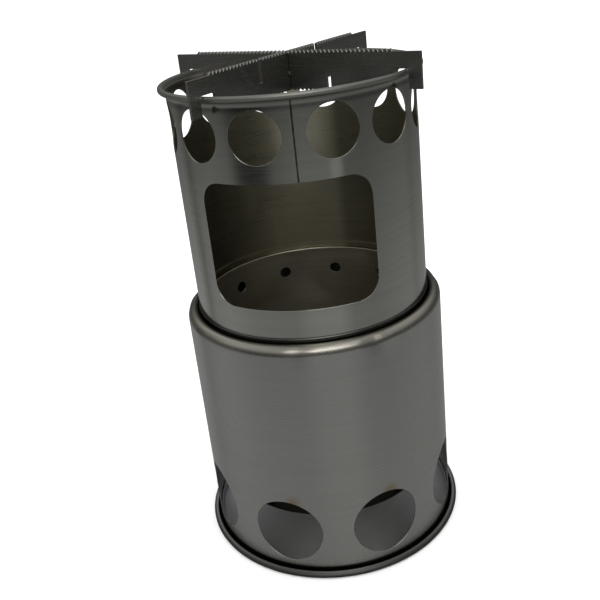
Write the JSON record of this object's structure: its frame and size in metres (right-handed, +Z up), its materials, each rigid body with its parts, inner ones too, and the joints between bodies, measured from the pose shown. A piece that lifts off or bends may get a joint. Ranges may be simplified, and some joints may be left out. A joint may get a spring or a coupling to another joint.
{
  "type": "rocket stove",
  "caption": "Portable wood stove: drilled base shell, hanging firebox liner, windscreen ring with a fuel window and vents, and crossed toothed pot supports.",
  "frame": {"origin": "centre of the round foot, on the surface that the stove stands on", "axes": "+Z up along the stove's axis, -Y towards the side with the fuel window, +X to the right of it"},
  "size_m": [0.135, 0.135, 0.2434],
  "materials": {
    "satin_steel": "satin stainless steel, finely brushed round the shell",
    "floor_steel": "satin stainless steel, lightly smudged",
    "firebox_steel": "brushed stainless steel with a warm straw tint",
    "grate_steel": "punched stainless steel plate, dull",
    "polished_steel": "near mirror stainless steel with a vertical weld seam",
    "support_steel": "dark satin stainless steel strip with punched teeth"
  },
  "bodies": {
    "base": {"base_shell": "satin_steel", "base_floor": "floor_steel"},
    "firebox": {"firebox_liner": "firebox_steel"},
    "grate": {"firebox_grate": "grate_steel"},
    "windscreen": {"windscreen_ring": "polished_steel"},
    "support_lower": {"pot_support_lower": "support_steel"},
    "support_upper": {"pot_support_upper": "support_steel"}
  },
  "joints": [
    {"name": "firebox_lift", "type": "slide", "parent": "base", "child": "firebox", "axis": [0, 0, 1], "range_m": [0, 0.11]},
    {"name": "grate_lift", "type": "slide", "parent": "firebox", "child": "grate", "axis": [0, 0, 1], "range_m": [0, 0.09]},
    {"name": "windscreen_lift", "type": "slide", "parent": "firebox", "child": "windscreen", "axis": [0, 0, 1], "range_m": [0, 0.04]},
    {"name": "support_lower_lift", "type": "slide", "parent": "windscreen", "child": "support_lower", "axis": [0, 0, 1], "range_m": [0, 0.03]},
    {"name": "support_upper_lift", "type": "slide", "parent": "support_lower", "child": "support_upper", "axis": [0, 0, 1], "range_m": [0, 0.03]}
  ]
}
